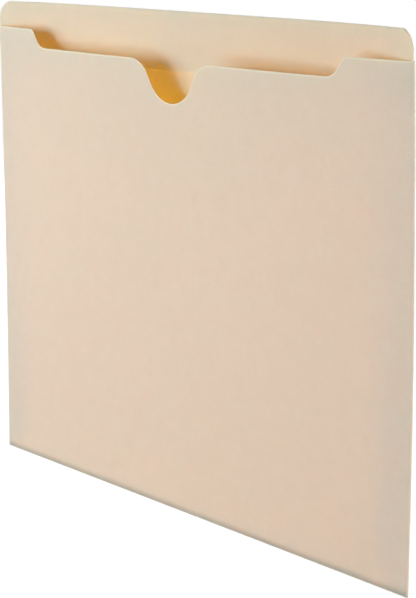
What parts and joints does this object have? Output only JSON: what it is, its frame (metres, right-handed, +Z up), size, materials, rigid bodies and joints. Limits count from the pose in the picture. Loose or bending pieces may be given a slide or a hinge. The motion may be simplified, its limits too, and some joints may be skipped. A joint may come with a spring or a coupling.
{
  "type": "file jacket",
  "caption": "Flat card file jacket for a drawer: a pocket glued at the sides, open at the top, with a full-width raised tab, a stepped mouth and a rounded thumb cut.",
  "frame": {"origin": "middle of the bounding box's bottom face, on the surface that the bottom fold stands on", "axes": "+X along the width, to the right as the front panel is looked at; +Y to the back; +Z up, from the bottom fold to the tab"},
  "size_m": [0.2984, 0.0166, 0.2413],
  "materials": {
    "manila_card": "matte",
    "dry_glue": "satin"
  },
  "bodies": {
    "back": {"back_panel": "manila_card", "tab_reinforcement_ply": "manila_card", "tab_ply_glue": "dry_glue", "bottom_fold": "manila_card", "left_side_fold": "manila_card", "right_side_fold": "manila_card", "left_seam_flap": "manila_card", "right_seam_flap": "manila_card", "left_seam_glue": "dry_glue", "right_seam_glue": "dry_glue"},
    "front": {"front_panel": "manila_card"}
  },
  "joints": [
    {"name": "mouth_open", "type": "hinge", "parent": "back", "child": "front", "pos_m": [0, -0.00198, 0.0006], "axis": [1, 0, 0], "range_deg": [0, 4], "stiffness_Nm_per_rad": 0.25}
  ]
}
